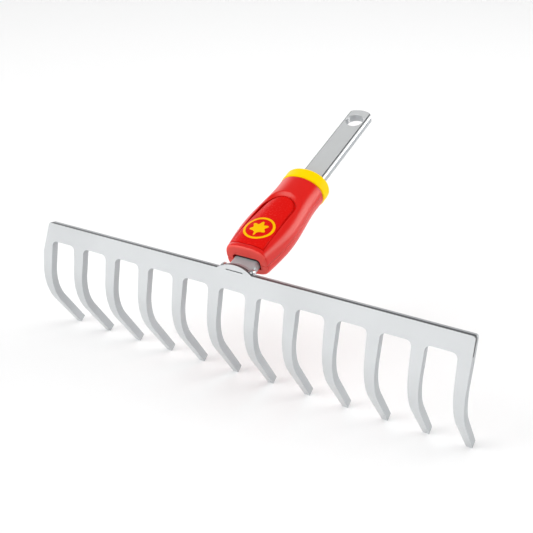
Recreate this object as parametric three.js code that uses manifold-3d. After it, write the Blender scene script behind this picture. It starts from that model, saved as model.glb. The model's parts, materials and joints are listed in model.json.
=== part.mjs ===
// Garden rake head with a click-on coupling: a stamped comb of curved tines, a flat steel tang,
// a two-shell plastic grip with a rocker release button, and an end ring that takes the handle.
// Millimetres, +Z up, tine tips on Z = 0, X along the comb, the tang rises towards +Y.
import * as THREE from 'three';
import * as BGU from 'three/addons/utils/BufferGeometryUtils.js';
import Module from 'manifold-3d';

const wasm = await Module();
wasm.setup();

// ---------- driving dimensions ----------
const TINES = 12;            // number of tines
const PITCH = 26;            // tine spacing along the bar
const SHEET = 5;             // sheet thickness of the comb
const BAR_H = 11.6;          // height of the bar above the gaps
const ROOT_W = 7.8;          // tine width where it leaves the bar
const TAPER = 0.0265;        // loss of half width per mm of tine
const GAP_R = 3.4;           // fillet at the top of each gap
const STUB_Z = -20;          // the flat blank ends here and the bent tines go on
const BEND_Z = -29;          // start of the tine bend
const BEND_R = 38;           // radius of the bend on the convex face
const BEND_A = 45.5;         // angle of the bend, degrees
const TIP_L = 29.9;          // straight length after the bend
const ARCH_W = 12;           // half width of the arch on the bar's top edge
const ARCH_H = 3.9;          // height of that arch
const SLOT_W = 5.9;          // half width of the slot for the tang's tongue
const END_CUT = 4.4;         // slanting cut at the top of the bar's left end

const LEAN = 9.0;            // the bar leans back by this angle when the tips are down
const SLOPE = 29.2;          // tang angle above the bar's own normal
const TANG_Z = -2.15;        // height of the tang's top face at the bar's front face
const TANG_W = 17;           // tang width
const TANG_T = 5;            // tang thickness
const TANG_R = 2;            // rounding of the tang's upper edges
const TANG_L = 170.8;        // distance of the far end from the bar's front face
const SKIM = 0.15;           // the tang is this much thinner per side inside the grip
const FULL_S = 86;           // full thickness from here to the far end
const EYE_S = 159;           // place of the eye near the far end
const EYE_R = 6;             // radius of the eye

const GRIP_S0 = 14.5;        // front of the grip
const RING_S0 = 83.5;        // joint between grip and ring
const RING_S1 = 92.2;        // rear of the ring
const SEAM = -2.5;           // height of the parting line of the two shells
const WALL = 2.6;            // wall of the shells
const GAP = 0.3;             // running and joint gap

const BTN_W = 11.4;          // half width of the button's window
const BTN_S0 = 17.8;         // front of the window
const BTN_SC = 54.3;         // centre of the window's rear arc
const PIVOT_S = 46;          // rocker pin, along the tang
const PIVOT_W = 3.2;         // rocker pin, above the tang's top face
const PIN_R = 1.25;          // rocker pin radius
const SPRING_S = 30;         // spring under the front of the button

const STEEL = new THREE.MeshStandardMaterial({ color: 0xc8ccd0, roughness: 0.25, metalness: 1 });
const RED = new THREE.MeshStandardMaterial({ color: 0xd01212, roughness: 0.3, metalness: 0 });
const YELLOW = new THREE.MeshStandardMaterial({ color: 0xffd400, roughness: 0.4, metalness: 0 });
const DARK = new THREE.MeshStandardMaterial({ color: 0x8a8d90, roughness: 0.4, metalness: 1 });

// ---------- solids ----------
const rad = (d) => d * Math.PI / 180;

function solid(geometry) {
  const g = geometry.clone();
  g.deleteAttribute('normal');
  g.deleteAttribute('uv');
  const m = BGU.mergeVertices(g, 1e-4);
  const mesh = new wasm.Mesh({
    numProp: 3,
    vertProperties: new Float32Array(m.attributes.position.array),
    triVerts: new Uint32Array(m.index.array),
  });
  return new wasm.Manifold(mesh);
}

function toGeometry(manifold) {
  const mesh = manifold.getMesh();
  const g = new THREE.BufferGeometry();
  const pos = new Float32Array(mesh.numVert * 3);
  for (let i = 0; i < mesh.numVert; i++) {
    for (let k = 0; k < 3; k++) pos[3 * i + k] = mesh.vertProperties[i * mesh.numProp + k];
  }
  g.setAttribute('position', new THREE.BufferAttribute(pos, 3));
  g.setIndex(new THREE.BufferAttribute(new Uint32Array(mesh.triVerts), 1));
  return g;
}

// closed loft through rings of equal point count, flat fans on both ends
function loft(rings) {
  const n = rings[0].length;
  const pos = [];
  const idx = [];
  for (const ring of rings) for (const p of ring) pos.push(...p);
  for (let r = 0; r < rings.length - 1; r++) {
    for (let i = 0; i < n; i++) {
      const a = r * n + i;
      const b = r * n + (i + 1) % n;
      idx.push(a, b, b + n, a, b + n, a + n);
    }
  }
  for (const [row, flip] of [[0, true], [rings.length - 1, false]]) {
    const c = [0, 0, 0];
    for (const p of rings[row]) for (let k = 0; k < 3; k++) c[k] += p[k] / n;
    const ci = pos.length / 3;
    pos.push(...c);
    for (let i = 0; i < n; i++) {
      const a = row * n + i;
      const b = row * n + (i + 1) % n;
      if (flip) idx.push(ci, b, a); else idx.push(ci, a, b);
    }
  }
  const g = new THREE.BufferGeometry();
  g.setAttribute('position', new THREE.Float32BufferAttribute(pos, 3));
  g.setIndex(idx);
  let m = solid(g);
  if (m.volume() < 0) {
    for (let i = 0; i < idx.length; i += 3) [idx[i + 1], idx[i + 2]] = [idx[i + 2], idx[i + 1]];
    g.setIndex(idx);
    m = solid(g);
  }
  return m;
}

// prism of a closed outline of [a, b] points between two levels; map puts (a, b, level) in space
function prism(outline, lo, hi, map) {
  return loft([outline.map(([a, b]) => map(a, b, lo)), outline.map(([a, b]) => map(a, b, hi))]);
}

function shapePrism(points, depth, map) {
  const shape = new THREE.Shape(points.map(([a, b]) => new THREE.Vector2(a, b)));
  const g = new THREE.ExtrudeGeometry(shape, { depth, bevelEnabled: false, curveSegments: 1 });
  const p = g.attributes.position;
  for (let i = 0; i < p.count; i++) p.setXYZ(i, ...map(p.getX(i), p.getY(i), p.getZ(i)));
  return solid(g);
}

function box(x0, x1, y0, y1, z0, z1) {
  return solid(new THREE.BoxGeometry(x1 - x0, y1 - y0, z1 - z0)
    .translate((x0 + x1) / 2, (y0 + y1) / 2, (z0 + z1) / 2));
}

// cylinder between two levels of w, axis normal to the tang
function post(x, s, w0, w1, r, seg = 20) {
  return solid(new THREE.CylinderGeometry(r, r, w1 - w0, seg)
    .rotateX(Math.PI / 2).translate(x, s, (w0 + w1) / 2));
}

// cylinder along X
function rod(x0, x1, s, w, r, seg = 20) {
  return solid(new THREE.CylinderGeometry(r, r, x1 - x0, seg)
    .rotateZ(Math.PI / 2).translate((x0 + x1) / 2, s, w));
}

// ---------- frames ----------
// bar frame: X along the bar, Y to the rear, Z up in the bar's plane, front top edge at 0, 0
// tang frame: X the same, Y along the tang, Z normal to its top face
const BAR_TO_WORLD = new THREE.Matrix4().makeRotationX(rad(-LEAN));
const TANG_TO_BAR = new THREE.Matrix4().makeTranslation(0, 0, TANG_Z)
  .multiply(new THREE.Matrix4().makeRotationX(rad(SLOPE)));
const TANG_TO_WORLD = BAR_TO_WORLD.clone().multiply(TANG_TO_BAR);
const BAR_TO_TANG = TANG_TO_BAR.clone().invert();

// ---------- comb ----------
const tineX = (k) => (k - (TINES - 1) / 2) * PITCH;
const halfWidth = (down) => ROOT_W / 2 - TAPER * (down - BAR_H);

function combOutline() {
  const pts = [];
  const bottom = STUB_Z;
  for (let k = 0; k < TINES; k++) {
    const x = tineX(k);
    pts.push([x - halfWidth(-bottom), bottom], [x + halfWidth(-bottom), bottom]);
    if (k === TINES - 1) break;
    const xn = tineX(k + 1);
    const h = halfWidth(BAR_H + GAP_R);
    for (let i = 0; i <= 5; i++) {
      const a = (i / 5) * Math.PI / 2;
      pts.push([x + h + GAP_R * (1 - Math.cos(a)), -BAR_H - GAP_R + GAP_R * Math.sin(a)]);
    }
    for (let i = 5; i >= 0; i--) {
      const a = (i / 5) * Math.PI / 2;
      pts.push([xn - h - GAP_R * (1 - Math.cos(a)), -BAR_H - GAP_R + GAP_R * Math.sin(a)]);
    }
  }
  const end = tineX(TINES - 1) + halfWidth(BAR_H);
  const c = 2.2;
  pts.push([end, -BAR_H], [end + 0.1, -c]);
  for (let i = 1; i <= 4; i++) {
    const a = (i / 4) * Math.PI / 2;
    pts.push([end + 0.1 - c * (1 - Math.cos(a)), -c + c * Math.sin(a)]);
  }
  const R = (ARCH_W * ARCH_W + ARCH_H * ARCH_H) / (2 * ARCH_H);
  const half = Math.asin(ARCH_W / R);
  for (let i = 0; i <= 12; i++) {
    const a = half - (2 * half * i) / 12;
    pts.push([R * Math.sin(a), Math.max(0, R * Math.cos(a) - (R - ARCH_H))]);
  }
  const edge = (z) => END_CUT * (1 - z / STUB_Z) - end;
  pts.push([edge(0) + 0.9, 0], [edge(0) + 0.3, -0.25], [edge(-0.9), -0.9]);
  return pts;
}

// stations down a tine: front face point, back face point and half width
function tineStations() {
  const st = [];
  st.push({ y: 0, z: STUB_Z + 1, a: 0, d: -STUB_Z - 1 });
  st.push({ y: 0, z: BEND_Z, a: 0, d: -BEND_Z });
  const steps = 9;
  for (let i = 1; i <= steps; i++) {
    const a = rad(BEND_A) * i / steps;
    st.push({
      y: BEND_R * (1 - Math.cos(a)), z: BEND_Z - BEND_R * Math.sin(a), a,
      d: -BEND_Z + (BEND_R - SHEET / 2) * a,
    });
  }
  const last = st[st.length - 1];
  st.push({
    y: last.y + TIP_L * Math.sin(last.a), z: last.z - TIP_L * Math.cos(last.a), a: last.a,
    d: last.d + TIP_L,
  });
  return st;
}

function tine(k) {
  const x = tineX(k);
  return loft(tineStations().map(({ y, z, a, d }) => {
    const h = halfWidth(d);
    const by = y + SHEET * Math.cos(a);
    const bz = z + SHEET * Math.sin(a);
    return [[x - h, y, z], [x + h, y, z], [x + h, by, bz], [x - h, by, bz]];
  }));
}

function comb() {
  let m = shapePrism(combOutline(), SHEET, (a, b, c) => [a, SHEET - c, b]);
  for (let k = 0; k < TINES; k++) m = m.add(tine(k));
  return m.subtract(box(-SLOT_W, SLOT_W, -1, SHEET + 1, -2.4, 0.7));
}

// ---------- tang ----------
// length of tang between two stations, skimmed on all sides by the given amount
function tangBar(s0, s1, skim) {
  const h = TANG_W / 2 - skim;
  const right = [[h, -TANG_T + skim]];
  for (let i = 0; i <= 4; i++) {
    const a = (i / 4) * Math.PI / 2;
    right.push([h - TANG_R * (1 - Math.cos(a)), -skim - TANG_R + TANG_R * Math.sin(a)]);
  }
  const section = [...right, ...right.map(([x, w]) => [-x, w]).reverse()];
  return prism(section, s0, s1, (a, b, s) => [a, s, b]);
}

// plan of the tang: shallow arc at the far end with rounded corners
function tangPlan() {
  const pts = [[-12, -12], [12, -12]];
  const R = 14;
  const corner = TANG_W / 2 - 1.8;
  pts.push([TANG_W / 2 + 1, TANG_L - 4.6], [TANG_W / 2, TANG_L - 4.4], [TANG_W / 2 - 0.5, TANG_L - 2.7]);
  for (let i = 0; i <= 8; i++) {
    const x = corner - (2 * corner * i) / 8;
    pts.push([x, TANG_L - (R - Math.sqrt(R * R - x * x))]);
  }
  pts.push([-TANG_W / 2 + 0.5, TANG_L - 2.7], [-TANG_W / 2, TANG_L - 4.4], [-TANG_W / 2 - 1, TANG_L - 4.6]);
  return pts;
}

function tang() {
  let m = tangBar(-10, FULL_S, SKIM).add(tangBar(FULL_S, TANG_L, 0));
  const plan = shapePrism(tangPlan(), 40, (a, b, c) => [a, b, c - 20]);
  m = m.intersect(plan);
  m = m.subtract(post(0, EYE_S, -TANG_T - 1, 1, EYE_R, 28));
  m = m.subtract(post(0, 39, -TANG_T - 1, 1, 2.6));
  const rear = toGeometry(box(-20, 20, SHEET + GAP, 300, -60, 200)).applyMatrix4(BAR_TO_TANG);
  m = m.intersect(solid(rear));
  const tongue = toGeometry(box(-5.6, 5.6, 0.15, SHEET + 3.5, -2.1, -0.1)).applyMatrix4(BAR_TO_TANG);
  return m.add(solid(tongue));
}

// fillet weld between the side of the tang and the rear of the bar, in the bar frame
function weldBead(side) {
  const x0 = side * (TANG_W / 2 + 0.25);
  const y0 = SHEET + 0.25;
  const rings = [];
  const levels = [-8.2, -7.4, -4, -1, 0.3, 1];
  const sizes = [1.2, 2.6, 3.2, 3, 2.2, 1];
  levels.forEach((z, i) => {
    const r = sizes[i];
    rings.push([[x0, y0, z], [x0 + side * r, y0, z], [x0 + side * r * 0.55, y0 + r * 0.55, z],
      [x0, y0 + r, z]]);
  });
  return loft(rings);
}

// ---------- grip ----------
// half width, height of the top, depth of the bottom and squareness along the grip
const SECTIONS = [
  [14.5, 13.4, 8.3, -10.7, 3.1], [15.3, 14.1, 9.0, -11.3, 3.1], [18, 14.6, 9.2, -11.7, 3.1],
  [23, 15.4, 9.2, -12.3, 3.0], [30, 16.45, 9.2, -13.1, 2.8], [38, 17.25, 9.2, -13.8, 2.6],
  [47, 17.3, 9.2, -14.1, 2.4], [56, 16.5, 9.2, -14.3, 2.3], [65, 15.5, 9.2, -14.4, 2.2],
  [74, 14.9, 9.1, -14.6, 2.1], [83.2, 14.88, 9.0, -14.85, 2.1],
];
const RING_SECTION = [15.0, 9.1, -15.1, 2.1];
const AROUND = 40;

function ovalRing(s, a, top, bottom, n, shrink = 0, drop = 0) {
  const ring = [];
  for (let i = 0; i < AROUND; i++) {
    const t = (i / AROUND) * 2 * Math.PI;
    const c = Math.cos(t);
    const d = Math.sin(t);
    const x = (a - shrink) * Math.sign(c) * Math.abs(c) ** (2 / n);
    const b = (d > 0 ? top - SEAM : SEAM - bottom) - shrink;
    const w = SEAM + b * Math.sign(d) * Math.abs(d) ** (2 / n) - drop;
    ring.push([x, s, w]);
  }
  return ring;
}

function gripBody(shrink = 0, drop = 0) {
  return loft(SECTIONS.map(([s, a, t, b, n]) => ovalRing(s, a, t, b, n, shrink, drop)));
}

// hollow inside the shells, open to the rear where the handle's nose goes in
function gripHollow() {
  const rings = SECTIONS.slice(2).map(([s, a, t, b, n]) => ovalRing(s, a, t, b, n, WALL));
  const [, a, t, b, n] = SECTIONS[SECTIONS.length - 1];
  rings.push(ovalRing(RING_S1 + 5, a, t, b, n, WALL));
  return loft(rings);
}

// window outline: straight sides, front edge, half round rear
function windowOutline(half, front, rear) {
  const pts = [[-half, front], [half, front]];
  for (let i = 0; i <= 16; i++) {
    const a = (i / 16) * Math.PI;
    pts.push([half * Math.cos(a), BTN_SC + rear * Math.sin(a)]);
  }
  return pts;
}

const up = (a, b, w) => [a, b, w];
const SCREWS = [[-11, 25], [11, 25]];

function gripUpperShell() {
  let m = gripBody().subtract(gripHollow());
  const bosses = SCREWS.map(([x, s]) => post(x, s, -4, 0.8, 2.1));
  bosses.push(box(-14.5, -BTN_W - 0.2, PIVOT_S - 3, PIVOT_S + 3, -0.5, 6));
  bosses.push(box(BTN_W + 0.2, 14.5, PIVOT_S - 3, PIVOT_S + 3, -0.5, 6));
  for (const b of bosses) m = m.add(b.intersect(gripBody(0.6)));
  m = m.intersect(box(-30, 30, 0, 120, SEAM + GAP / 2, 30));
  m = m.subtract(prism(windowOutline(BTN_W, BTN_S0, BTN_W), 2.5, 20, up));
  m = m.subtract(loft([
    windowOutline(BTN_W + 0.01, BTN_S0, BTN_W + 0.01).map(([a, b]) => [a, b, 7.6]),
    windowOutline(BTN_W + 1.5, BTN_S0, BTN_W + 4.4).map(([a, b]) => [a, b, 10.4]),
  ]));
  m = m.subtract(rod(-13, 13, PIVOT_S, PIVOT_W, PIN_R + 0.05));
  m = m.subtract(frontOpening());
  for (const [x, s] of SCREWS) m = m.subtract(post(x, s, -6, 0.3, 1.05, 14));
  return keepMain(m);
}

// way out for the tang through the front wall
function frontOpening() {
  const h = TANG_W / 2 + 0.75;
  const side = [[h, -6.3], [h, -1.2], [h - 0.4, -0.1], [h - 1.2, 0.8], [h - 2.6, 1.2]];
  const pts = [...side, ...side.map(([x, w]) => [-x, w]).reverse()];
  return prism(pts, 10, 18.4, (a, b, s) => [a, s, b]);
}

function gripLowerShell() {
  let m = gripBody().subtract(gripHollow());
  const extras = SCREWS.map(([x, s]) => post(x, s, -12, SEAM, 2.1));
  for (const s of [21, 34, 48]) extras.push(box(-12, 12, s - 0.9, s + 0.9, -14, -TANG_T - GAP));
  for (const b of extras) m = m.add(b.intersect(gripBody(0.6)));
  m = m.add(post(0, 39, -13, -0.6, 2.3).intersect(gripBody(0.6)));
  m = m.intersect(box(-30, 30, 0, 120, -40, SEAM - GAP / 2).add(post(0, 39, -20, 0, 2.3)));
  m = m.subtract(frontOpening());
  for (const [x, s] of SCREWS) {
    m = m.subtract(post(x, s, -20, 0, 1.15, 14)).subtract(post(x, s, -20, -6.4, 1.95));
  }
  return keepMain(m);
}

// largest piece of a solid
function keepMain(m) {
  const parts = m.decompose();
  let best = parts[0];
  for (const p of parts) if (p.volume() > best.volume()) best = p;
  return best;
}

// ---------- button and its mechanism ----------
function releaseButton() {
  const outline = windowOutline(BTN_W - 0.35, BTN_S0 + 0.5, BTN_W - 0.35);
  let m = gripBody(0.35, 0.55).subtract(gripBody(0.35 + 2.4, 0.55));
  m = m.intersect(prism(outline, 3.4, 20, up));
  m = keepMain(m);
  for (const side of [-1, 1]) {
    const lug = box(-1.2, 1.2, PIVOT_S - 2.8, PIVOT_S + 2.8, PIVOT_W - 2.4, 6.6);
    m = m.add(solid(toGeometry(lug).translate(side * 7.5, 0, 0)));
  }
  m = m.add(post(0, SPRING_S, 4.4, 7.4, 1.6));
  m = m.subtract(rod(-12, 12, PIVOT_S, PIVOT_W, PIN_R + 0.3));
  for (const x of [-4.6, 4.6]) m = m.subtract(post(x, 54, 2, 7.2, 1.1, 14));
  m = m.subtract(emblemRecess());
  return m;
}

// oval recess for the inlaid badge, on the crowned top
const BADGE_S = 33.2;
function oval(a, b, w0, w1, seg = 36) {
  const pts = [];
  for (let i = 0; i < seg; i++) {
    const t = (i / seg) * 2 * Math.PI;
    pts.push([a * Math.cos(t), BADGE_S + b * Math.sin(t)]);
  }
  return prism(pts, w0, w1, up);
}
function skin(lo, hi) {
  return gripBody(0.35, 0.55 - hi).subtract(gripBody(0.35, 0.55 - lo));
}
function emblemRecess() {
  const band = oval(9.75, 9.95, 4, 12).subtract(oval(7.95, 8.15, 3, 13));
  return band.add(leafMotif(0.25)).intersect(skin(-0.6, 0.6));
}
function badgeRing() {
  const band = oval(9.5, 9.7, 4, 12).subtract(oval(8.2, 8.4, 3, 13));
  return keepMain(band.intersect(skin(-0.45, 0.12)));
}

// plain five-lobed leaf with a stalk, one closed outline
function leafMotif(grow = 0) {
  const lobes = [[90, 2.9], [36, 2.6], [144, 2.6], [-20, 1.9], [200, 1.9]];
  const pts = [];
  for (let i = 0; i < 72; i++) {
    const deg = i * 5 - 90;
    let r = 3.6 + grow;
    for (const [at, high] of lobes) {
      const d = Math.abs(deg - at) > 180 ? Math.abs(deg - at) - 360 : deg - at;
      r += high * Math.exp(-((d / 16) ** 2));
    }
    pts.push([r * Math.cos(rad(deg)), BADGE_S - 0.6 + r * Math.sin(rad(deg))]);
  }
  const st = 0.75 + grow;
  return prism(pts, 3, 12, up).add(box(-st, st, BADGE_S - 6.2 - grow, BADGE_S - 2, 3, 12));
}
function badgeLeaf() {
  return keepMain(leafMotif(0).intersect(skin(-0.45, 0.12)));
}

function pivotPin() {
  return rod(-12.7, 12.7, PIVOT_S, PIVOT_W, PIN_R - 0.02);
}

// steel catch: flat foot riveted under the button, hook turned down at the rear
function catchPlate() {
  let m = box(-6.4, 6.4, 51.5, 60.2, 2.6, 3.8).add(box(-4.8, 4.8, 58.9, 60.2, 0.8, 3.8));
  for (const x of [-4.6, 4.6]) m = m.subtract(post(x, 54, 0, 6, 1.1, 14));
  return m;
}

function catchRivet(x) {
  return post(x, 54, 1.9, 6.9, 0.85, 14).add(post(x, 54, 1.4, 2.3, 1.7, 14));
}

// coil spring between the tang and the button, closed flat by its end turns
function buttonSpring() {
  const turns = 4.2;
  const pts = [];
  for (let i = 0; i <= 84; i++) {
    const t = i / 84;
    const a = t * turns * 2 * Math.PI;
    pts.push(new THREE.Vector3(2.9 * Math.cos(a), SPRING_S + 2.9 * Math.sin(a), 0.75 + 4.75 * t));
  }
  const curve = new THREE.CatmullRomCurve3(pts);
  const wire = new THREE.Shape();
  for (let i = 0; i < 6; i++) {
    const a = (i / 6) * 2 * Math.PI;
    if (i === 0) wire.moveTo(0.35, 0); else wire.lineTo(0.35 * Math.cos(a), 0.35 * Math.sin(a));
  }
  wire.closePath();
  return solid(new THREE.ExtrudeGeometry(wire, { steps: 64, extrudePath: curve, curveSegments: 1 }));
}

function shellScrew([x, s]) {
  return post(x, s, -7, 0, 0.85, 14).add(post(x, s, -7.9, -6.7, 1.65, 18))
    .subtract(box(x - 0.3, x + 0.3, s - 1.2, s + 1.2, -8.5, -7.4));
}

// ---------- end ring ----------
function endRing() {
  const [a, t, b, n] = RING_SECTION;
  const outer = loft([
    [RING_S0, -0.1], [RING_S0 + 0.5, -0.3], [RING_S1 - 1.6, -0.1], [RING_S1 - 0.6, 0.35],
    [RING_S1, 1.0],
  ].map(([s, sh]) => ovalRing(s, a, t, b, n, sh)));
  const inner = loft([
    [RING_S0 - 12, 3.95], [RING_S0 + 0.6, 3.95], [RING_S0 + 1.6, 3.0], [RING_S1 - 0.8, 3.0],
    [RING_S1 + 0.4, 2.6],
  ].map(([s, sh]) => ovalRing(s, a, t, b, n, sh)));
  const spigot = loft([
    [RING_S0 - 5, 3.2], [RING_S0 + 1, 3.2],
  ].map(([s, sh]) => ovalRing(s, a, t, b, n, sh)));
  return outer.add(spigot).subtract(inner);
}

// ---------- assembly ----------
const group = new THREE.Group();
group.name = 'rake_head';

function put(name, manifold, matrix, material) {
  const g = toGeometry(manifold);
  g.applyMatrix4(matrix);
  g.computeVertexNormals();
  const mesh = new THREE.Mesh(g, material);
  mesh.name = name;
  group.add(mesh);
}

put('rake_comb', comb(), BAR_TO_WORLD, STEEL);
put('tang', tang(), TANG_TO_WORLD, STEEL);
put('weld_bead_left', weldBead(-1), BAR_TO_WORLD, STEEL);
put('weld_bead_right', weldBead(1), BAR_TO_WORLD, STEEL);
put('grip_upper_shell', gripUpperShell(), TANG_TO_WORLD, RED);
put('grip_lower_shell', gripLowerShell(), TANG_TO_WORLD, RED);
put('release_button', releaseButton(), TANG_TO_WORLD, RED);
put('badge_ring', badgeRing(), TANG_TO_WORLD, YELLOW);
put('badge_leaf', badgeLeaf(), TANG_TO_WORLD, YELLOW);
put('pivot_pin', pivotPin(), TANG_TO_WORLD, DARK);
put('catch_plate', catchPlate(), TANG_TO_WORLD, DARK);
put('catch_rivet_left', catchRivet(-4.6), TANG_TO_WORLD, DARK);
put('catch_rivet_right', catchRivet(4.6), TANG_TO_WORLD, DARK);
put('button_spring', buttonSpring(), TANG_TO_WORLD, DARK);
SCREWS.forEach((p, i) => {
  put(`shell_screw_${i + 1}`, shellScrew(p), TANG_TO_WORLD, DARK);
});
put('end_ring', endRing(), TANG_TO_WORLD, YELLOW);

// stand the tips on Z = 0 and centre the box on X and Y
const bounds = new THREE.Box3().setFromObject(group);
const shift = [-(bounds.min.x + bounds.max.x) / 2, -(bounds.min.y + bounds.max.y) / 2, -bounds.min.z];
group.children.forEach((mesh) => mesh.geometry.translate(...shift));

export default group;
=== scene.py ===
import json
import math
import random

import bmesh
import bpy
import numpy as np
from mathutils import Matrix, Vector


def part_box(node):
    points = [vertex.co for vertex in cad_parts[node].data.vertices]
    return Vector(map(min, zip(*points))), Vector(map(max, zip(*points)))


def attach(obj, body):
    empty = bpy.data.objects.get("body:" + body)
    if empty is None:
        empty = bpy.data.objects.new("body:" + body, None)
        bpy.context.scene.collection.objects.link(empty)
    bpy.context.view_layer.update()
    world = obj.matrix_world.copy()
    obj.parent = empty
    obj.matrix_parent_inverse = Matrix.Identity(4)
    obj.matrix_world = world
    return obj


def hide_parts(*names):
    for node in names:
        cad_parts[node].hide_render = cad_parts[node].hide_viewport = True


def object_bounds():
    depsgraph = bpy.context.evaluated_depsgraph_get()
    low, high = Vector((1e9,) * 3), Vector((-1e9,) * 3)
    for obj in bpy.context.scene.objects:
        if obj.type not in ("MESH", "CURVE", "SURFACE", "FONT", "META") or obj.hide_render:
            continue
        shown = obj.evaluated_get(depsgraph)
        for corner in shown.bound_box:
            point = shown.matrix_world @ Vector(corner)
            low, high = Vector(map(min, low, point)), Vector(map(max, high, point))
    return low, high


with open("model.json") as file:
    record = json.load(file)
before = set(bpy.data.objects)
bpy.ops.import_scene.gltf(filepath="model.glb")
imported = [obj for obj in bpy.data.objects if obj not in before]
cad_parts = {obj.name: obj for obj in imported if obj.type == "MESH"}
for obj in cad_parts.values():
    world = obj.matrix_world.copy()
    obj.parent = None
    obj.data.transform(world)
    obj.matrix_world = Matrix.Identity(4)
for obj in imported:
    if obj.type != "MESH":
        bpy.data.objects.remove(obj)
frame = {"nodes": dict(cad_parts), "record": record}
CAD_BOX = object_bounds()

scene = bpy.context.scene
nodes = frame["nodes"]
slots = {s["node"]: s["material_slot"] for s in frame["record"]["subparts"]}

# ---------- frames of the object, millimetres ----------
# bar frame: X along the bar, Y to the rear, Z up in the sheet; tang frame: X, s along the tang, w up from it
LEAN, SLOPE, TANG_Z = 9.0, 29.2, -2.15
lo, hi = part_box("rake_comb")
ARCH_H, SHEET = 3.9, 5.0
ARCH_TOP = ARCH_H * math.cos(math.radians(LEAN)) * 0.001
RIGHT_END = 0.1470         # bar's right end, from the comb's middle
FRONT_REACH = 0.004997     # the comb's foremost point lies this far in front of the bar frame's origin
SHIFT = Vector((hi.x - RIGHT_END, lo.y + FRONT_REACH, hi.z - ARCH_TOP))
MM = Matrix.Scale(0.001, 4)
BAR = Matrix.Translation(SHIFT) @ Matrix.Rotation(math.radians(-LEAN), 4, "X") @ MM
TANG = BAR @ Matrix.Translation((0, 0, TANG_Z)) @ Matrix.Rotation(math.radians(SLOPE), 4, "X")


# ---------- mesh helpers ----------
def mesh_object(name, verts, faces):
    me = bpy.data.meshes.new(name)
    me.from_pydata([tuple(map(float, v)) for v in verts], [], faces)
    bm = bmesh.new()
    bm.from_mesh(me)
    bmesh.ops.recalc_face_normals(bm, faces=bm.faces)
    bm.to_mesh(me)
    bm.free()
    o = bpy.data.objects.new(name, me)
    scene.collection.objects.link(o)
    return o


def loft(name, rings):
    rings = [np.asarray(r, float) for r in rings]
    n = len(rings[0])
    verts = np.concatenate(rings)
    faces = []
    for r in range(len(rings) - 1):
        a = r * n
        for i in range(n):
            j = (i + 1) % n
            faces.append((a + i, a + j, a + n + j, a + n + i))
    faces.append(tuple(range(n)))
    faces.append(tuple(range((len(rings) - 1) * n, len(rings) * n)))
    return mesh_object(name, verts, faces)


def box(x0, x1, y0, y1, z0, z1):
    ring = lambda z: [(x0, y0, z), (x1, y0, z), (x1, y1, z), (x0, y1, z)]
    return loft("box", [ring(z0), ring(z1)])


def post(x, s, w0, w1, r, seg=40):
    ring = lambda w: [(x + r * math.cos(2 * math.pi * i / seg), s + r * math.sin(2 * math.pi * i / seg), w)
                      for i in range(seg)]
    return loft("post", [ring(w0), ring(w1)])


def rod(x0, x1, s, w, r, seg=40):
    ring = lambda x: [(x, s + r * math.cos(2 * math.pi * i / seg), w + r * math.sin(2 * math.pi * i / seg))
                      for i in range(seg)]
    return loft("rod", [ring(x0), ring(x1)])


def boolean(a, b, op):
    m = a.modifiers.new("cut", "BOOLEAN")
    m.object, m.operation, m.solver = b, op, "MANIFOLD"
    dg = bpy.context.evaluated_depsgraph_get()
    a.update_tag()
    bpy.context.view_layer.update()
    new = bpy.data.meshes.new_from_object(a.evaluated_get(dg))
    a.modifiers.clear()
    a.data = new
    bpy.data.objects.remove(b)
    return a


def cut(a, b):
    return boolean(a, b, "DIFFERENCE")


def join(a, b):
    return boolean(a, b, "UNION")


def common(a, b):
    return boolean(a, b, "INTERSECT")


def done(obj, name, matrix, node, body, angle, bevel=0.0, segments=2):
    """Names the piece, moves it into the shared frame, and puts it in place of its CAD node."""
    obj.name = name
    obj.data.name = name
    obj.data.transform(matrix)
    if len([m for m in obj.data.materials if m]) < 2:
        obj.data.materials.clear()
        obj.data.materials.append(MAT[slots[node]])
        for p in obj.data.polygons:
            p.material_index = 0
    for p in obj.data.polygons:
        p.use_smooth = True
    if bevel:
        m = obj.modifiers.new("edge", "BEVEL")
        m.width, m.segments, m.limit_method = bevel * 0.001, segments, "ANGLE"
        m.angle_limit = math.radians(angle)
        m.harden_normals = False
        m.use_clamp_overlap = True
        obj.data.set_sharp_from_angle(angle=math.radians(55))
        w = obj.modifiers.new("normals", "WEIGHTED_NORMAL")
        w.keep_sharp = False
        w.weight = 60
    else:
        obj.data.set_sharp_from_angle(angle=math.radians(angle))
    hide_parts(node)
    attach(obj, body)
    return obj


# ---------- materials ----------
def new_material(name, base, rough, metal=0.0, spec=0.5):
    m = bpy.data.materials.new(name)
    m.use_nodes = True
    nt = m.node_tree
    b = nt.nodes["Principled BSDF"]
    b.inputs["Base Color"].default_value = (*base, 1)
    b.inputs["Roughness"].default_value = rough
    b.inputs["Metallic"].default_value = metal
    b.inputs["Specular IOR Level"].default_value = spec
    return m, nt, b


def link(nt, a, ao, b, bi):
    nt.links.new(a.outputs[ao], b.inputs[bi])


def noise(nt, scale, detail=4.0, rough=0.55, stretch=None):
    tc = nt.nodes.new("ShaderNodeTexCoord")
    mp = nt.nodes.new("ShaderNodeMapping")
    link(nt, tc, "Object", mp, "Vector")
    if stretch:
        mp.inputs["Scale"].default_value = stretch
    n = nt.nodes.new("ShaderNodeTexNoise")
    n.inputs["Scale"].default_value = scale
    n.inputs["Detail"].default_value = detail
    n.inputs["Roughness"].default_value = rough
    link(nt, mp, "Vector", n, "Vector")
    return n


def ramp(nt, src, out, low, high, c0, c1):
    r = nt.nodes.new("ShaderNodeValToRGB")
    r.color_ramp.elements[0].position = low
    r.color_ramp.elements[1].position = high
    r.color_ramp.elements[0].color = (*c0, 1)
    r.color_ramp.elements[1].color = (*c1, 1)
    link(nt, src, out, r, "Fac")
    return r


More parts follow.
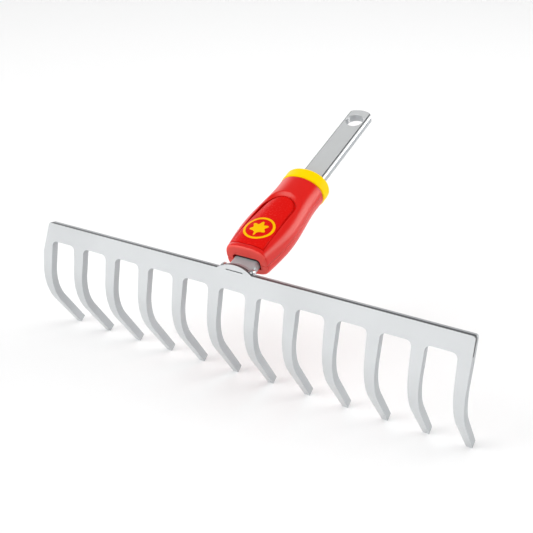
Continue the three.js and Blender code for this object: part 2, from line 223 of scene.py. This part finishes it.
def value_range(nt, src, out, low, high):
    r = nt.nodes.new("ShaderNodeMapRange")
    r.inputs["To Min"].default_value = low
    r.inputs["To Max"].default_value = high
    link(nt, src, out, r, "Value")
    return r


def bump(nt, b, src, out, strength, distance):
    n = nt.nodes.new("ShaderNodeBump")
    n.inputs["Strength"].default_value = strength
    n.inputs["Distance"].default_value = distance
    link(nt, src, out, n, "Height")
    link(nt, n, "Normal", b, "Normal")


def plated_steel(name, base, rough, grain=0.02, stretch=None, mottle=0.04, metal=0.85):
    m, nt, b = new_material(name, base, rough[0], metal=metal)
    n = noise(nt, 260, 5.0, 0.6, stretch)
    big = noise(nt, 22, 3.0, 0.5)
    dark = [v * (1 - mottle) for v in base]
    light = [min(1, v * (1 + mottle / 2)) for v in base]
    c = ramp(nt, big, "Fac", 0.3, 0.7, dark, light)
    link(nt, c, "Color", b, "Base Color")
    link(nt, value_range(nt, n, "Fac", rough[0], rough[1]), "Result", b, "Roughness")
    bump(nt, b, n, "Fac", grain, 0.0004)
    return m


WARM_GLOSS = (1.0, 0.86, 0.76, 1.0)


def moulded(name, base, rough, grain, spec, shade=0.94):
    m, nt, b = new_material(name, base, rough, spec=spec)
    n = noise(nt, 900, 3.0, 0.5)
    big = noise(nt, 25, 2.0, 0.5)
    c = ramp(nt, big, "Fac", 0.3, 0.7, [v * shade for v in base], base)
    link(nt, c, "Color", b, "Base Color")
    link(nt, value_range(nt, n, "Fac", rough * 0.85, rough * 1.2), "Result", b, "Roughness")
    bump(nt, b, n, "Fac", grain, 0.00012)
    b.inputs["Specular Tint"].default_value = WARM_GLOSS
    return m


RED = (0.70, 0.005, 0.003)
MAT = {
    "comb_steel": plated_steel("comb_plating", (0.665, 0.682, 0.693), (0.30, 0.42)),
    "tang_steel": plated_steel("tang_plating", (0.80, 0.815, 0.822), (0.18, 0.28), metal=0.5),
    "weld_steel": plated_steel("weld_plating", (0.55, 0.56, 0.57), (0.16, 0.36), 0.35, mottle=0.2),
    "grip_red": moulded("red_plastic", RED, 0.30, 0.03, 0.5),
    "button_red": moulded("red_button_plastic", RED, 0.26, 0.03, 0.12),
    "badge_yellow": moulded("yellow_inlay", (0.90, 0.49, 0.001), 0.35, 0.02, 0.04, 0.98),
    "ring_yellow": moulded("yellow_plastic", (0.98, 0.64, 0.001), 0.34, 0.03, 0.04, 0.98),
    "small_steel": plated_steel("small_steel", (0.55, 0.56, 0.58), (0.25, 0.4)),
    "spring_steel": plated_steel("spring_steel", (0.4, 0.41, 0.42), (0.25, 0.4)),
}
# These four are chosen and aren't known finishes of the real object: cut faces, the tang's front,
# dark lines that stand in for reflections and shadow, and the pale nose of the grip.
CUT_STEEL = plated_steel("cut_face_plating", (0.45, 0.467, 0.482), (0.42, 0.58), 0.10, mottle=0.08, metal=0.5)
# painted shade: a darker, bluish and less metallic steel for the tang's stretch between the comb and the grip
PAINTED_SHADE_FRONT = plated_steel("front_plating_painted_shade", (0.46, 0.53, 0.545), (0.34, 0.5), 0.2, mottle=0.15, metal=0.2)
# painted reflection and painted shadow: near-black lines along the comb's top edge and right end and along the tang's
# top, and a band on the tang just inside the grip's opening
REFLECTION_AND_SHADOW_PAINT = plated_steel("painted_reflection_and_shadow_lines", (0.06, 0.065, 0.068), (0.35, 0.5), 0.10, mottle=0.1, metal=0.15)
# painted light: a paler red for the faces of the grip's nose that look forwards
PAINTED_LIGHT_RED = moulded("red_plastic_painted_light", (0.88, 0.075, 0.06), 0.5, 0.03, 0.5)
for node_name, obj in nodes.items():
    obj.data.materials.clear()
    obj.data.materials.append(MAT[slots[node_name]])

# ---------- comb ----------
TINES, PITCH, BAR_H, ROOT_W, TAPER, GAP_R = 12, 26.0, 11.6, 7.8, 0.0265, 3.4
STUB_Z, BEND_Z, BEND_R, BEND_A, TIP_L = -20.0, -29.0, 38.0, 45.5, 29.9
ARCH_W, END_CUT, CORNER = 12.0, 4.4, 1.6
DARK_TOP, DARK_END = 2.8, 1.8          # depth of the dark strip of painted reflection from the front: on the top edge, at the end


def tine_x(k):
    return (k - (TINES - 1) / 2) * PITCH


def half_width(down):
    return ROOT_W / 2 - TAPER * (down - BAR_H)


def tine_stations():
    """Front-face points (Y, Z), bend angle and distance down the tine, from the blank's end to the tip."""
    st = [(0.0, z, 0.0, -z) for z in (-22.0, -25.5, BEND_Z)]
    for i in range(1, 25):
        a = math.radians(BEND_A) * i / 24
        st.append((BEND_R * (1 - math.cos(a)), BEND_Z - BEND_R * math.sin(a), a,
                   -BEND_Z + (BEND_R - SHEET / 2) * a))
    y, z, a, d = st[-1]
    for f in (0.33, 0.66, 1.0):
        st.append((y + f * TIP_L * math.sin(a), z - f * TIP_L * math.cos(a), a, d + f * TIP_L))
    return st


def comb_visual():
    # closed outline of the blank, counter-clockwise seen from the front, with marks at the tine bottoms
    pts, bottoms = [], {}
    arc = lambda x, h, sx: [(x + sx * (h + GAP_R * (1 - math.cos(a))), -BAR_H - GAP_R + GAP_R * math.sin(a))
                            for a in (i / 10 * math.pi / 2 for i in range(11))]
    for k in range(TINES):
        x = tine_x(k)
        bottoms[len(pts)] = k
        pts += [(x - half_width(-STUB_Z), STUB_Z), (x + half_width(-STUB_Z), STUB_Z)]
        if k < TINES - 1:
            h = half_width(BAR_H + GAP_R)
            pts += arc(x, h, 1) + arc(tine_x(k + 1), h, -1)[::-1]
    end = tine_x(TINES - 1) + half_width(BAR_H)
    pts.append((end, -BAR_H))
    pts += [(end + 0.1 - CORNER * (1 - math.cos(a)), -CORNER + CORNER * math.sin(a)) for a in
            (i / 6 * math.pi / 2 for i in range(7))]
    R = (ARCH_W ** 2 + ARCH_H ** 2) / (2 * ARCH_H)
    half = math.asin(ARCH_W / R)
    for i in range(37):
        x = R * math.sin(half - 2 * half * i / 36)
        z = math.sqrt(R * R - x * x) - (R - ARCH_H)
        pts.append((x, max(0.0, z)))
    edge = lambda z: END_CUT * (1 - z / STUB_Z) - end
    pts += [(edge(0) + 1.0, 0.0), (edge(0) + 0.5, -0.12), (edge(0) + 0.15, -0.45), (edge(-1.0), -1.0)]
    n = len(pts)
    verts = [(x, 0.0, z) for x, z in pts] + [(x, SHEET, z) for x, z in pts]
    faces = [tuple(range(n)), tuple(range(2 * n - 1, n - 1, -1))]
    face_material = [0, 0]
    # points of the outline that get a further point behind them, for the dark strip of painted reflection along
    # the front of the top edge and down the right end
    strip = {}
    for i, (x, z) in enumerate(pts):
        if z > -2.0 or (x > end - 1 and z > -BAR_H - 0.1):
            strip[i] = len(verts)
            verts.append((x, DARK_TOP if z > -2.0 else DARK_END, z))
    for i in range(n):
        if i in bottoms:
            continue
        j = (i + 1) % n
        # the strip's faces get index 2, the dark painted reflection
        if i in strip and j in strip:
            faces += [(i, strip[i], strip[j], j), (strip[i], i + n, j + n, strip[j])]
            face_material += [2, 1]
        else:
            first = (i, strip[i], i + n) if i in strip else (i, i + n)
            second = (j + n, strip[j], j) if j in strip else (j + n, j)
            faces.append(first + second)
            face_material.append(1)
    for i, k in bottoms.items():
        prev = (i, i + 1, i + 1 + n, i + n)
        for y, z, a, d in tine_stations():
            h = half_width(d)
            x = tine_x(k)
            by, bz = y + SHEET * math.cos(a), z + SHEET * math.sin(a)
            b = len(verts)
            verts += [(x - h, y, z), (x + h, y, z), (x + h, by, bz), (x - h, by, bz)]
            now = (b, b + 1, b + 2, b + 3)
            for e, mat in ((0, 0), (1, 1), (2, 0), (3, 1)):
                f = (e + 1) % 4
                faces.append((prev[e], prev[f], now[f], now[e]))
                face_material.append(mat)
            prev = now
        faces.append(prev)
        face_material.append(1)
    o = mesh_object("comb", verts, faces)
    for m in (MAT["comb_steel"], CUT_STEEL, REFLECTION_AND_SHADOW_PAINT):
        o.data.materials.append(m)
    for p, mat in zip(o.data.polygons, face_material):
        p.material_index = mat
    slot_cut = box(-5.6, 6.1, -1, 2.6, 0.05, 0.62)
    slot_cut.data.materials.append(CUT_STEEL)
    cut(o, slot_cut)
    return done(o, "comb_with_rounded_edges", BAR, "rake_comb", "head", angle=50, bevel=0.45, segments=3)


# ---------- tang ----------
TANG_W, TANG_T, TANG_R, TANG_L, EYE_S, EYE_R = 17.0, 5.0, 2.0, 170.8, 159.0, 6.0
DARK_S0, DARK_S1 = 14.9, 17.0          # dark band of painted shadow on the tang, just inside the grip's opening


def bar_section(h, top, bottom, r_top, r_bottom, seg=10):
    side = [(h - r_bottom * (1 - math.sin(a)), bottom + r_bottom * (1 - math.cos(a))) for a in
            (i / 3 * math.pi / 2 for i in range(4))]
    side += [(h - r_top * (1 - math.cos(a)), top - r_top + r_top * math.sin(a)) for a in
             (i / seg * math.pi / 2 for i in range(seg + 1))]
    return side + [(-x, w) for x, w in reversed(side)]


def tang_visual():
    # a long bar, cut to a plan whose far end is a shallow arc with rounded corners
    R, corner = 14.0, TANG_W / 2 - 1.8
    o = loft("tang", [[(x, s, w) for x, w in bar_section(TANG_W / 2, 0, -TANG_T, TANG_R, 0.5)]
                      for s in (3.0, DARK_S0, DARK_S1, TANG_L + 2)])
    plan = [(-12, -12), (12, -12), (TANG_W / 2 + 1, TANG_L - 4.9)]
    for i in range(9):
        a = i / 8 * math.radians(62)
        plan.append((TANG_W / 2 + 0.05 - 2.2 * (1 - math.cos(a)), TANG_L - 4.6 + 2.3 * math.sin(a)))
    for i in range(1, 24):
        x = corner * (1 - 2 * i / 24)
        plan.append((x, TANG_L - (R - math.sqrt(R * R - x * x))))
    right = plan[3:12]
    plan += [(-x, s) for x, s in reversed(right)]
    plan += [(-TANG_W / 2 - 1, TANG_L - 4.9)]
    common(o, loft("plan", [[(x, s, w) for x, s in plan] for w in (-20, 20)]))
    flare = [(-TANG_T - 1, 0.9), (-TANG_T + 0.0, 0.35), (-TANG_T + 0.3, 0.0), (-0.45, 0.0), (-0.2, 0.12),
             (0.0, 0.42), (0.6, 1.2)]
    seg = 72
    cut(o, loft("eye", [[((EYE_R + g) * math.cos(2 * math.pi * i / seg), EYE_S + (EYE_R + g) *
                          math.sin(2 * math.pi * i / seg), w) for i in range(seg)] for w, g in flare]))
    cut(o, post(0, 39, -TANG_T - 1, 1, 2.6))
    nose = box(-20, 20, SHEET - 4.2, 300, -60, 200)
    nose.data.transform(Matrix.Rotation(math.radians(-SLOPE), 4, "X") @ Matrix.Translation((0, 0, -TANG_Z)))
    common(o, nose)
    tongue = box(-5.75, 5.75, 0.25, SHEET + 3.5, -2.3, -0.05)
    tongue.data.transform(Matrix.Rotation(math.radians(-SLOPE), 4, "X") @ Matrix.Translation((0, 0, -TANG_Z)))
    join(o, tongue)
    o.data.materials.clear()
    for m in (MAT["tang_steel"], CUT_STEEL, PAINTED_SHADE_FRONT, REFLECTION_AND_SHADOW_PAINT):
        o.data.materials.append(m)
    for p in o.data.polygons:
        s, across, up = p.center.y, abs(p.normal.x), p.normal.z
        # in front of the grip: painted shade (index 2); just inside the grip's opening: a dark band of painted shadow
        # (index 3)
        if s < DARK_S1:
            p.material_index = 2 if s < DARK_S0 else 3
        elif across > 0.97 or abs(p.normal.y) > 0.5:
            p.material_index = 1
        # where the flat top turns into the rounded edges: a dark line of painted reflection (index 3)
        elif across > 0.1 and 0.92 < up < 0.99:
            p.material_index = 3
    return done(o, "tang_with_eye", TANG, "tang", "head", angle=28, bevel=0.25, segments=2)


# ---------- weld ----------
def weld_visual(side, node):
    rnd = random.Random(7 if side > 0 else 11)
    x0 = side * (TANG_W / 2 - 0.1)
    blobs = []
    path = [(0.9, 2.4, 0.6, 1.7), (1.3, 3.8, 0.9, 1.9), (1.5, 5.0, 0.7, 2.1), (1.3, 6.0, -0.6, 2.1),
            (1.1, 6.4, -2.4, 2.2), (1.1, 6.5, -4.2, 2.1), (1.0, 6.4, -6.0, 2.0), (0.8, 6.2, -7.6, 1.7)]
    for dx, y, z, r in path:
        blobs.append((x0 + side * (dx + rnd.uniform(-0.15, 0.15)), y + rnd.uniform(-0.15, 0.15),
                      z + rnd.uniform(-0.1, 0.1), r * rnd.uniform(0.92, 1.05)))
    for _ in range(3):
        blobs.append((x0 + side * rnd.uniform(1.6, 3.4), rnd.uniform(4.2, 6.2), rnd.uniform(-0.6, 1.0),
                      rnd.uniform(0.5, 0.9)))
    bm = bmesh.new()
    for x, y, z, r in blobs:
        bmesh.ops.create_icosphere(bm, subdivisions=3, radius=r, matrix=Matrix.Translation((x, y, z)))
    me = bpy.data.meshes.new("weld")
    bm.to_mesh(me)
    bm.free()
    o = bpy.data.objects.new("weld", me)
    scene.collection.objects.link(o)
    m = o.modifiers.new("melt", "REMESH")
    m.mode, m.voxel_size = "VOXEL", 0.16
    m = o.modifiers.new("soften", "SMOOTH")
    m.factor, m.iterations = 0.6, 6
    bpy.context.view_layer.update()
    o.data = bpy.data.meshes.new_from_object(o.evaluated_get(bpy.context.evaluated_depsgraph_get()))
    o.modifiers.clear()
    return done(o, f"weld_run_{'right' if side > 0 else 'left'}", BAR, node, "head", angle=80)


# ---------- grip ----------
GRIP_S0, GRIP_S1, RING_S0, RING_S1, SEAM, WALL = 14.5, 83.2, 83.5, 92.2, -2.5, 2.6
BTN_W, BTN_S0, BTN_SC, PIVOT_S, PIVOT_W, PIN_R, SPRING_S, BADGE_S = 11.4, 17.8, 54.3, 46, 3.2, 1.25, 30, 33.2
BTN_GAP, BTN_EDGE, FRONT_GAP = 0.14, 0.6, 0.55     # round the button, its edge rounding, at its front
SECTIONS = [
    (14.5, 14.25, 9.2, -11.3, 3.1), (18, 14.6, 9.2, -11.7, 3.1),
    (23, 15.4, 9.2, -12.3, 3.0), (30, 16.45, 9.2, -13.1, 2.8), (38, 17.25, 9.2, -13.8, 2.6),
    (47, 17.3, 9.2, -14.1, 2.4), (56, 16.5, 9.2, -14.3, 2.3), (65, 15.5, 9.2, -14.4, 2.2),
    (74, 14.9, 9.1, -14.6, 2.1), (83.2, 14.88, 9.0, -14.85, 2.1)]
RING_SECTION = (15.0, 9.1, -15.1, 2.1)
SCREWS = [(-11, 25), (11, 25)]


def section(s):
    """Smooth section values at station s: half width, top, bottom, squareness."""
    S = [r[0] for r in SECTIONS]
    s = min(max(s, S[0]), S[-1])
    i = max(0, min(len(S) - 2, int(np.searchsorted(S, s, side="right")) - 1))
    out = []
    for c in range(1, 5):
        v = [r[c] for r in SECTIONS]
        slope = lambda k: ((v[k + 1] - v[k - 1]) / (S[k + 1] - S[k - 1])) if 0 < k < len(S) - 1 else \
            ((v[1] - v[0]) / (S[1] - S[0]) if k == 0 else (v[-1] - v[-2]) / (S[-1] - S[-2]))
        h = S[i + 1] - S[i]
        t = (s - S[i]) / h
        out.append((2 * t ** 3 - 3 * t ** 2 + 1) * v[i] + (t ** 3 - 2 * t ** 2 + t) * h * slope(i)
                   + (-2 * t ** 3 + 3 * t ** 2) * v[i + 1] + (t ** 3 - t ** 2) * h * slope(i + 1))
    return out


def angles(count):
    """Polar angles round a section, closer together at the parting line."""
    base = np.linspace(0, 2 * np.pi, count, endpoint=False)
    extra = np.radians([0.35, 0.8, 1.4, 2.1])
    more = np.concatenate([[c + e, c - e] for c in (0, np.pi) for e in extra])
    return np.unique(np.round(np.mod(np.concatenate([base, more]), 2 * np.pi), 6))


def oval(s, dims, shrink=0.0, ang=None, change=None):
    """One ring of the grip: a squarish oval about the parting line, smaller by shrink, dented by change."""
    a, top, bottom, n = dims
    ang = angles(120) if ang is None else ang
    c, d = np.cos(ang), np.sin(ang)
    up = d >= 0
    hgt = np.where(up, top - SEAM, SEAM - bottom) - shrink
    rho = ((np.abs(c) / (a - shrink)) ** n + (np.abs(d) / hgt) ** n) ** (-1 / n)
    x, w = rho * c, rho * d
    if change is not None:
        inset = change(x, np.full_like(x, s), w)
        k = 1 - inset / np.maximum(rho, 1e-6)
        x, w = x * k, w * k
    return np.stack([x, np.full_like(x, s), SEAM + w], 1)


def smooth(t):
    t = np.clip(t, 0, 1)
    return t * t * (3 - 2 * t)


def window_distance(x, s, grow=0.0):
    """Distance outside (+) or inside (-) the button window, seen from above."""
    half = BTN_W + grow
    straight = np.maximum(np.abs(x) - half, BTN_S0 - grow - s)
    round_end = np.hypot(x, np.maximum(s - BTN_SC, 0)) - half
    return np.where(s > BTN_SC, round_end, straight)


def shell_detail(x, s, w):
    """How far the outside of the shells sinks: groove at the seam, dished lip round the button."""
    sink = 0.34 * np.exp(-(w / 0.5) ** 2)
    d = window_distance(x, s)
    rear = smooth((s - BTN_SC) / 8.0)
    width = 0.8 + 2.3 * rear
    depth = 0.5 + 1.45 * rear
    front = smooth((BTN_S0 + 1.5 - s) / 1.5) * (np.abs(x) < BTN_W)
    depth = depth * (1 - 0.75 * front)
    t = np.clip(d / width, 0, 1)
    lip = depth * (1 - smooth(t) * 0.35 - t * 0.65)
    return sink + np.where((w > 2) & (d < width), lip, 0.0)


def grip_rings(shrink=0.0, step=1.0, count=120, s0=GRIP_S0, s1=GRIP_S1, change=None):
    nose = 1.5             # rounding of the front edge
    ang = angles(count)
    rings = []
    for i in range(9):
        t = i / 8 * math.pi / 2
        rings.append(oval(s0 + nose * (1 - math.cos(t)), section(s0), shrink + nose * (1 - math.sin(t)), ang, change))
    for s in np.arange(s0 + nose + step, s1 - 0.3, step):
        rings.append(oval(s, section(s), shrink, ang, change))
    rings.append(oval(s1 - 0.15, section(s1), shrink, ang, change))
    rings.append(oval(s1, section(s1), shrink + 0.15, ang, change))
    return rings


def hollow():
    rings = [oval(s, section(s), WALL) for s in (17.6, 20, 25, 30, 38, 47, 56, 65, 74, 83.2)]
    rings.append(oval(RING_S1 + 5, section(83.2), WALL))
    return loft("hollow", rings)


def front_opening():
    h = TANG_W / 2 + 0.75
    side = [(h, -6.0), (h, -0.8)]
    side += [(h - 2.4 * (1 - math.cos(a)), -0.8 + 2.4 * math.sin(a)) for a in
             (i / 8 * math.pi / 2 for i in range(1, 9))]
    pts = side + [(-x, w) for x, w in reversed(side)]
    return loft("opening", [[(x * k, s, (w + 2.5) * k - 2.5) for x, w in pts] for s, k in
                            ((10, 1.1), (14.4, 1.03), (14.7, 1.01), (15.0, 1.0), (18.4, 1.0))])


def window_prism(grow, w0, w1):
    half = BTN_W + grow
    pts = [(-half, BTN_S0 - grow), (half, BTN_S0 - grow)]
    pts += [(half * math.cos(a), BTN_SC + half * math.sin(a)) for a in (i / 64 * math.pi for i in range(65))]
    return loft("window", [[(x, s, w) for x, s in pts] for w in (w0, w1)])


def paint_light_on_nose(o):
    # faces of the nose that look forwards get a paler red, painted light, so that they read as light as the sides do
    o.data.materials.clear()
    o.data.materials.append(MAT["grip_red"])
    o.data.materials.append(PAINTED_LIGHT_RED)
    for p in o.data.polygons:
        p.material_index = int(p.center.y < 18 and p.normal.y < -0.5)


def upper_shell():
    o = loft("upper", grip_rings(step=0.36, count=300, change=shell_detail))
    cut(o, hollow())
    for x, s in SCREWS:
        join(o, common(post(x, s, -4, 0.8, 2.1), loft("limit", grip_rings(0.6))))
    for side in (-1, 1):
        x = sorted((side * 14.5, side * (BTN_W + 0.2)))
        join(o, common(box(x[0], x[1], PIVOT_S - 3, PIVOT_S + 3, -0.5, 6), loft("limit", grip_rings(0.6))))
    common(o, box(-30, 30, 0, 120, SEAM + 0.15, 30))
    cut(o, window_prism(0.0, 1.5, 20))
    cut(o, rod(-13, 13, PIVOT_S, PIVOT_W, PIN_R + 0.05))
    cut(o, front_opening())
    paint_light_on_nose(o)
    return done(o, "upper_shell_moulding", TANG, "grip_upper_shell", "head", angle=38)


def lower_shell():
    o = loft("lower", grip_rings(step=0.7, count=240, change=shell_detail))
    cut(o, hollow())
    for s in (21, 34, 48):
        join(o, common(box(-12, 12, s - 0.9, s + 0.9, -14, -TANG_T - 0.3), loft("limit", grip_rings(0.6))))
    for x, s in SCREWS:
        join(o, common(post(x, s, -12, SEAM, 2.1), loft("limit", grip_rings(0.6))))
    common(o, box(-30, 30, 0, 120, -40, SEAM - 0.15))
    cut(o, front_opening())
    for x, s in SCREWS:
        cut(o, post(x, s, -20, 0, 1.15))
        cut(o, post(x, s, -20, -6.4, 1.95))
    paint_light_on_nose(o)
    return done(o, "lower_shell_moulding", TANG, "grip_lower_shell", "head", angle=38)


# ---------- button ----------
def button_sink(s):
    """How far the button's skin lies below the grip's own surface; more towards the rear."""
    return 0.12 + 1.6 * smooth((s - 26) / 36.0)


def button_detail(x, s, w):
    """Rounded edge of the button inside its window, sinking to the rear."""
    d = -window_distance(x, s, -BTN_GAP)
    r = BTN_EDGE
    t = np.clip(d / r, 0, 1)
    edge = r - np.sqrt(np.maximum(0, r * r - (r - t * r) ** 2))
    return np.where(w > 2, button_sink(s) + np.where(d < r, edge, 0.0), 0.0)


def release_button():
    o = loft("button", grip_rings(step=0.36, count=300, change=button_detail))
    cut(o, loft("under", grip_rings(3.1, step=2.0, s0=13.0, s1=90)))
    common(o, window_prism(-BTN_GAP, 3.4, 20))
    cut(o, box(-20, 20, 0, BTN_S0 + FRONT_GAP, 0, 20))       # the front edge swings forward when pressed
    keep_only(o, max(mesh_islands(o), key=len))
    for side in (-1, 1):
        x = side * 7.5
        join(o, box(x - 1.2, x + 1.2, PIVOT_S - 2.8, PIVOT_S + 2.8, PIVOT_W - 2.4, 6.6))
    join(o, post(0, SPRING_S, 4.4, 7.4, 1.6))
    cut(o, rod(-12, 12, PIVOT_S, PIVOT_W, PIN_R + 0.1))
    return done(o, "thumb_button", TANG, "release_button", "button", angle=38)


def mesh_islands(o):
    bm = bmesh.new()
    bm.from_mesh(o.data)
    seen, out = set(), []
    for v in bm.verts:
        if v.index in seen:
            continue
        stack, isl = [v], []
        seen.add(v.index)
        while stack:
            u = stack.pop()
            isl.append(u.index)
            for e in u.link_edges:
                q = e.other_vert(u)
                if q.index not in seen:
                    seen.add(q.index)
                    stack.append(q)
        out.append(isl)
    bm.free()
    return out


def keep_only(o, verts):
    keep = set(verts)
    bm = bmesh.new()
    bm.from_mesh(o.data)
    bmesh.ops.delete(bm, geom=[v for v in bm.verts if v.index not in keep], context="VERTS")
    bm.to_mesh(o.data)
    bm.free()


def button_top(x, s):
    """Height of the button's skin over a point of the plan."""
    a, top, _, n = section(s)
    return SEAM + (top - SEAM) * (1 - (abs(x) / a) ** n) ** (1 / n) - float(button_sink(s))


def inlay(name, outlines, node, body, lift=0.16, depth=0.7):
    """A thin raised inlay that follows the button; outlines is [outer] or [outer, inner] of equal count."""
    outer = outlines[0]
    n = len(outer)
    verts, faces = [], []
    if len(outlines) == 2:
        inner = outlines[1]
        # share of the way from the outer to the inner outline, and height, of the six rows of the section
        rows = [(0, -depth), (0, lift - 0.07), (0.09, lift), (0.91, lift), (1, lift - 0.07), (1, -depth)]
        for f, w in rows:
            for (x, s), (xi, si) in zip(outer, inner):
                px, ps = x + (xi - x) * f, s + (si - s) * f
                verts.append((px, ps, button_top(px, ps) + w))
        for r in range(6):
            q = (r + 1) % 6
            for i in range(n):
                j = (i + 1) % n
                faces.append((r * n + i, r * n + j, q * n + j, q * n + i))
    else:
        cx = sum(p[0] for p in outer) / n
        cs = sum(p[1] for p in outer) / n
        rows = [(1.0, -depth), (1.0, lift - 0.06)] + [(f, lift) for f in (0.97, 0.85, 0.7, 0.55, 0.4, 0.25, 0.1)]
        for f, w in rows:
            for x, s in outer:
                px, ps = cx + (x - cx) * f, cs + (s - cs) * f
                verts.append((px, ps, button_top(px, ps) + w))
        for r in range(len(rows) - 1):
            for i in range(n):
                j = (i + 1) % n
                faces.append((r * n + i, r * n + j, (r + 1) * n + j, (r + 1) * n + i))
        faces.append(tuple(range(n)))
        faces.append(tuple(range((len(rows) - 1) * n, len(rows) * n)))
    return done(mesh_object(name, verts, faces), name, TANG, node, body, angle=50)


def badge():
    """An oval ring and a plain five-lobed leaf with a stalk."""
    n = 120
    ell = lambda a, b: [(a * math.cos(2 * math.pi * i / n), BADGE_S + b * math.sin(2 * math.pi * i / n))
                        for i in range(n)]
    inlay("oval_inlay", [ell(9.75, 9.85), ell(8.25, 8.35)], "badge_ring", "button")
    # direction, height and spread of the five lobes and of the stalk
    lobes = [(90, 2.9, 16), (36, 2.6, 16), (144, 2.6, 16), (-20, 1.9, 16), (200, 1.9, 16), (-90, 2.8, 9)]
    pts = []
    for i in range(180):
        deg = i * 2 - 90
        r = 3.6
        for at, high, spread in lobes:
            d = (deg - at + 180) % 360 - 180
            r += high * math.exp(-((d / spread) ** 2))
        pts.append((r * math.cos(math.radians(deg)), BADGE_S - 0.6 + r * math.sin(math.radians(deg))))
    inlay("leaf_inlay", [pts], "badge_leaf", "button")


# ---------- end ring ----------
def end_ring():
    outer = [(RING_S0, 0.35), (RING_S0 + 0.12, 0.0), (RING_S0 + 0.5, -0.22)]
    outer += [(RING_S0 + 0.5 + i * 0.8, -0.30) for i in range(1, 8)]
    outer += [(RING_S1 - 1.8 + 1.8 * math.sin(a), -0.30 + 1.5 * (1 - math.cos(a))) for a in
              (i / 8 * math.pi / 2 for i in range(1, 9))]
    o = loft("ring", [oval(s, RING_SECTION, sh) for s, sh in outer])
    join(o, loft("spigot", [oval(s, RING_SECTION, 3.2) for s in (RING_S0 - 5, RING_S0 + 1)]))
    inner = [(RING_S0 - 12, 3.95), (RING_S0 + 0.6, 3.95), (RING_S0 + 1.6, 3.0), (RING_S1 - 0.9, 3.0),
             (RING_S1 - 0.3, 2.85), (RING_S1 + 0.6, 2.2)]
    cut(o, loft("bore", [oval(s, RING_SECTION, sh) for s, sh in inner]))
    return done(o, "ring_moulding", TANG, "end_ring", "head", angle=34)


comb_visual()
tang_visual()
weld_visual(-1, "weld_bead_left")
weld_visual(1, "weld_bead_right")
upper_shell()
lower_shell()
release_button()
badge()
end_ring()

# ---------- stage ----------
FLOOR_Z = CAD_BOX[0][2]
FLOOR = 30.0
me = bpy.data.meshes.new("floor")
me.from_pydata([(x, y, FLOOR_Z) for x, y in ((-FLOOR, -FLOOR), (FLOOR, -FLOOR), (FLOOR, FLOOR), (-FLOOR, FLOOR))],
               [], [(0, 1, 2, 3)])
floor = bpy.data.objects.new("floor", me)
scene.collection.objects.link(floor)
fm, fnt, fb = new_material("floor_white", (0.82, 0.82, 0.82), 0.8, spec=0.0)
fb.inputs["Emission Color"].default_value = (1, 1, 1, 1)
fb.inputs["Emission Strength"].default_value = 0.155
me.materials.append(fm)

# studio: a dim grey room with soft round light panels
world = bpy.data.worlds.new("studio")
world.use_nodes = True
scene.world = world
nt = world.node_tree
tc = nt.nodes.new("ShaderNodeTexCoord")
room = nt.nodes.new("ShaderNodeValue")
room.outputs[0].default_value = 0.22
last = room.outputs[0]
# direction from the object, degrees at full level and where it has faded out, level above the room's
PANELS = [
    ((-0.474, 0.316, 0.822), 13, 26, 0.08),     # overhead, behind on the left
    ((0.80, 0.59, 0.10), 24, 34, 4.0),          # big panel on the right, behind
    ((-0.47, 0.865, 0.16), 18, 36, 0.40),       # back left
    ((-0.47, -0.66, 0.58), 14, 22, 3.6),        # high panel, front left
    ((-0.40, -0.90, 0.12), 22, 42, 1.4),        # low, front left
    ((-0.85, 0.45, 0.15), 15, 35, 1.0),         # left
]
for direction, inner, outer, level in PANELS:
    v = Vector(direction).normalized()
    dot = nt.nodes.new("ShaderNodeVectorMath")
    dot.operation = "DOT_PRODUCT"
    nt.links.new(tc.outputs["Generated"], dot.inputs[0])
    dot.inputs[1].default_value = v
    mr = nt.nodes.new("ShaderNodeMapRange")
    mr.interpolation_type = "SMOOTHSTEP"
    mr.inputs["From Min"].default_value = math.cos(math.radians(outer))
    mr.inputs["From Max"].default_value = math.cos(math.radians(inner))
    mr.inputs["To Min"].default_value = 0.0
    mr.inputs["To Max"].default_value = level
    nt.links.new(dot.outputs["Value"], mr.inputs["Value"])
    add = nt.nodes.new("ShaderNodeMath")
    add.operation = "ADD"
    nt.links.new(last, add.inputs[0])
    nt.links.new(mr.outputs["Result"], add.inputs[1])
    last = add.outputs[0]
nt.links.new(last, nt.nodes["Background"].inputs["Strength"])
nt.nodes["Background"].inputs["Color"].default_value = (1, 1, 1, 1)


# soft light from above, aimed at the object and left out of glossy reflections
fill_data = bpy.data.lights.new("overhead_fill", "AREA")
fill_data.shape = "RECTANGLE"
fill_data.size = fill_data.size_y = 1.6
fill_data.energy = 14
fill = bpy.data.objects.new("overhead_fill", fill_data)
fill.location = (0.1, 0.1, 1.7)
fill.rotation_euler = (Vector((0, 0.05, 0)) - fill.location).to_track_quat("-Z", "Y").to_euler()
fill.visible_glossy = False
scene.collection.objects.link(fill)

# ---------- camera ----------
cam_data = bpy.data.cameras.new("camera")
cam_data.sensor_width = 36
cam_data.lens = 66.785
cam_data.clip_start = 0.01
cam_data.clip_end = 100
cam = bpy.data.objects.new("camera", cam_data)
scene.collection.objects.link(cam)
cam.location = (0.286377 + SHIFT.x, -0.508822, 0.324730)
cam.rotation_euler = [math.radians(a) for a in (65.075563, -0.074714, 31.567910)]
scene.camera = cam
scene.view_settings.view_transform = "Standard"
